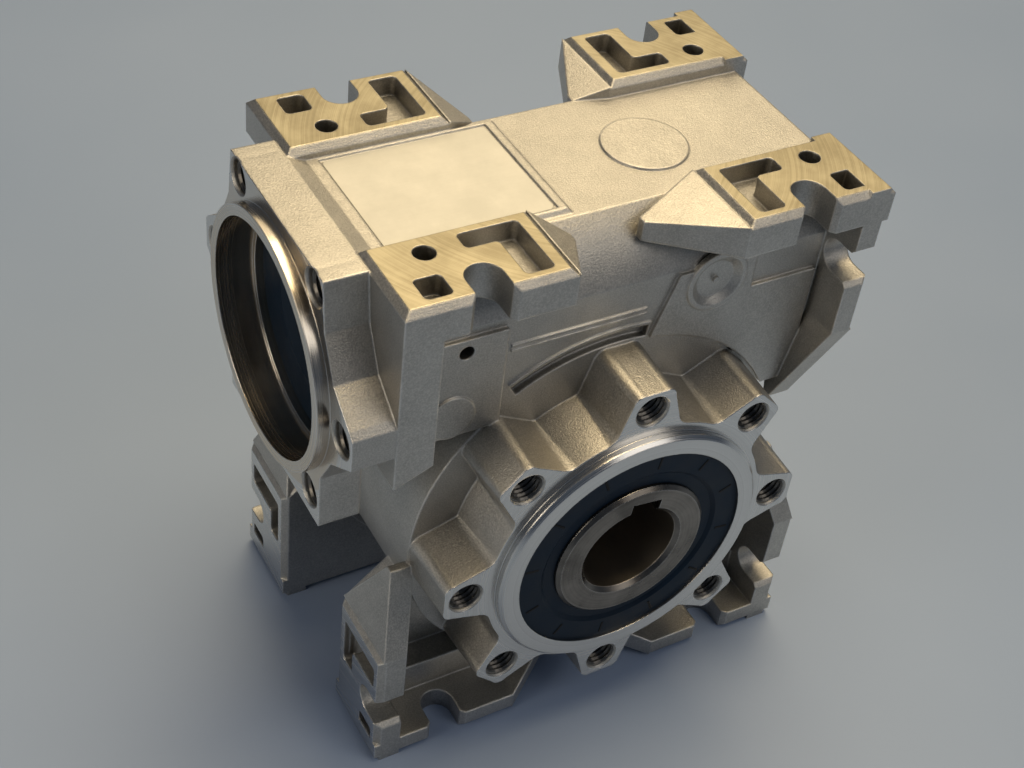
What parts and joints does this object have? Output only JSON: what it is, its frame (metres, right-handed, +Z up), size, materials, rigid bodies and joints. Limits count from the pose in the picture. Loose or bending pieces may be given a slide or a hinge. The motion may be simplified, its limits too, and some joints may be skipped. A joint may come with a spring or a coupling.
{
  "type": "worm gear reducer",
  "caption": "Right-angle worm gear reducer: die-cast case with slotted feet, open motor flange, lobed output flanges and a hollow keyed output shaft.",
  "frame": {"origin": "centre of the hollow output shaft, half way along it", "axes": "+Y along the output shaft towards the side cover, +X along the worm away from the motor, +Z up from the output shaft to the worm"},
  "size_m": [0.133, 0.0982, 0.144],
  "materials": {
    "cast_aluminium": "cast",
    "shaft_steel": "ground",
    "worm_steel": "ground",
    "bearing_steel": "polished",
    "cage_steel": "pressed",
    "dark_steel": "blackened",
    "bronze": "machined",
    "seal_rubber": "moulded",
    "black_rubber": "moulded"
  },
  "bodies": {
    "housing": {"gear_case": "cast_aluminium", "side_cover": "cast_aluminium", "side_cover_screws": "dark_steel", "side_cover_o_ring": "black_rubber", "front_output_seal": "seal_rubber", "rear_output_seal": "seal_rubber", "input_seal": "seal_rubber", "input_retaining_ring": "dark_steel", "end_retaining_ring": "dark_steel", "worm_end_cap": "black_rubber", "front_bearing_outer_race": "bearing_steel", "rear_bearing_outer_race": "bearing_steel", "worm_input_bearing_outer_race": "bearing_steel", "worm_end_bearing_outer_race": "bearing_steel"},
    "output": {"hollow_output_shaft": "shaft_steel", "worm_wheel_rim": "bronze", "front_bearing_inner_race": "bearing_steel", "rear_bearing_inner_race": "bearing_steel"},
    "worm": {"worm_shaft": "worm_steel", "worm_input_bearing_inner_race": "bearing_steel", "worm_end_bearing_inner_race": "bearing_steel"},
    "front_bearing_set": {"front_bearing_balls": "bearing_steel", "front_bearing_cage": "cage_steel"},
    "rear_bearing_set": {"rear_bearing_balls": "bearing_steel", "rear_bearing_cage": "cage_steel"},
    "worm_input_bearing_set": {"worm_input_bearing_balls": "bearing_steel", "worm_input_bearing_cage": "cage_steel"},
    "worm_end_bearing_set": {"worm_end_bearing_balls": "bearing_steel", "worm_end_bearing_cage": "cage_steel"}
  },
  "joints": [
    {"name": "wheel_spin", "type": "hinge", "parent": "housing", "child": "output", "pos_m": [0, 0, 0], "axis": [0, 1, 0], "continuous": true},
    {"name": "worm_spin", "type": "hinge", "parent": "housing", "child": "worm", "pos_m": [0, 0, 0.05], "axis": [1, 0, 0], "continuous": true},
    {"name": "front_bearing_roll", "type": "hinge", "parent": "housing", "child": "front_bearing_set", "pos_m": [0, 0, 0], "axis": [0, 1, 0], "continuous": true},
    {"name": "rear_bearing_roll", "type": "hinge", "parent": "housing", "child": "rear_bearing_set", "pos_m": [0, 0, 0], "axis": [0, 1, 0], "continuous": true},
    {"name": "worm_input_bearing_roll", "type": "hinge", "parent": "housing", "child": "worm_input_bearing_set", "pos_m": [0, 0, 0.05], "axis": [1, 0, 0], "continuous": true},
    {"name": "worm_end_bearing_roll", "type": "hinge", "parent": "housing", "child": "worm_end_bearing_set", "pos_m": [0, 0, 0.05], "axis": [1, 0, 0], "continuous": true}
  ],
  "couplings": [
    {"joint": "worm_spin", "follows": "wheel_spin", "ratio": -15},
    {"joint": "front_bearing_roll", "follows": "wheel_spin", "ratio": 0.42685},
    {"joint": "rear_bearing_roll", "follows": "wheel_spin", "ratio": 0.42685},
    {"joint": "worm_input_bearing_roll", "follows": "wheel_spin", "ratio": -5.961},
    {"joint": "worm_end_bearing_roll", "follows": "wheel_spin", "ratio": -5.7313}
  ]
}
